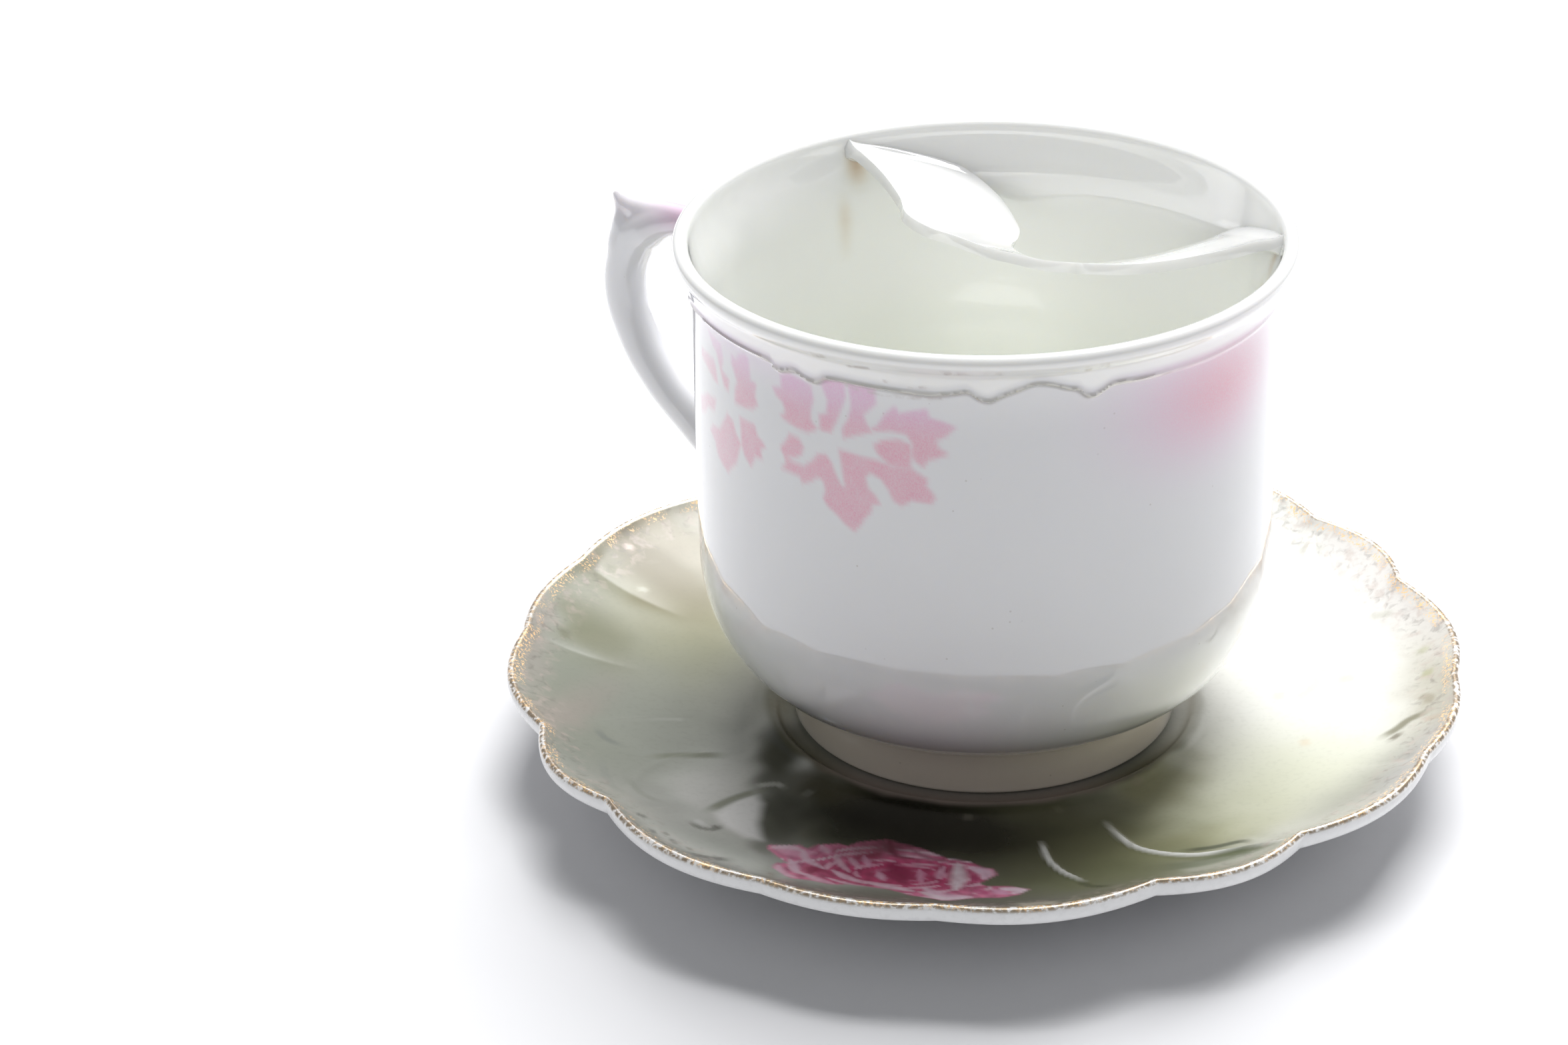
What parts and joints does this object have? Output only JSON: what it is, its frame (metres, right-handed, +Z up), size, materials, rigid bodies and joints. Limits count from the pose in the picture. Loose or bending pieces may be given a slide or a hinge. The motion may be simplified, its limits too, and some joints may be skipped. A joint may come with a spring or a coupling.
{
  "type": "moustache cup and saucer",
  "caption": "Porcelain tea cup with a moustache guard across its mouth, a loop handle and a foot ring, standing in the well of a scalloped saucer.",
  "frame": {"origin": "on the table, at the centre of the underside of the saucer's foot ring, below the cup's axis", "axes": "+Z up along the cup's axis; the handle is at 150 degrees from +X towards +Y and the drinker's side at 59.5 degrees"},
  "size_m": [0.1468, 0.1502, 0.0861],
  "materials": {
    "saucer_glaze": "gloss glaze over olive green shading, worn gilt edge",
    "cup_glaze": "cool white gloss glaze with sprayed pink leaves",
    "foot_glaze": "white gloss glaze, bare where it stands",
    "handle_glaze": "white gloss glaze, lilac near the spur",
    "guard_glaze": "white gloss glaze, tea stained at its ends"
  },
  "bodies": {
    "saucer": {"saucer": "saucer_glaze"},
    "cup": {"cup_bowl": "cup_glaze", "foot_ring": "foot_glaze", "handle": "handle_glaze", "moustache_guard": "guard_glaze"}
  },
  "joints": [
    {"name": "cup_lift", "type": "slide", "parent": "saucer", "child": "cup", "axis": [0, 0, 1], "range_m": [0, 0.12]}
  ]
}
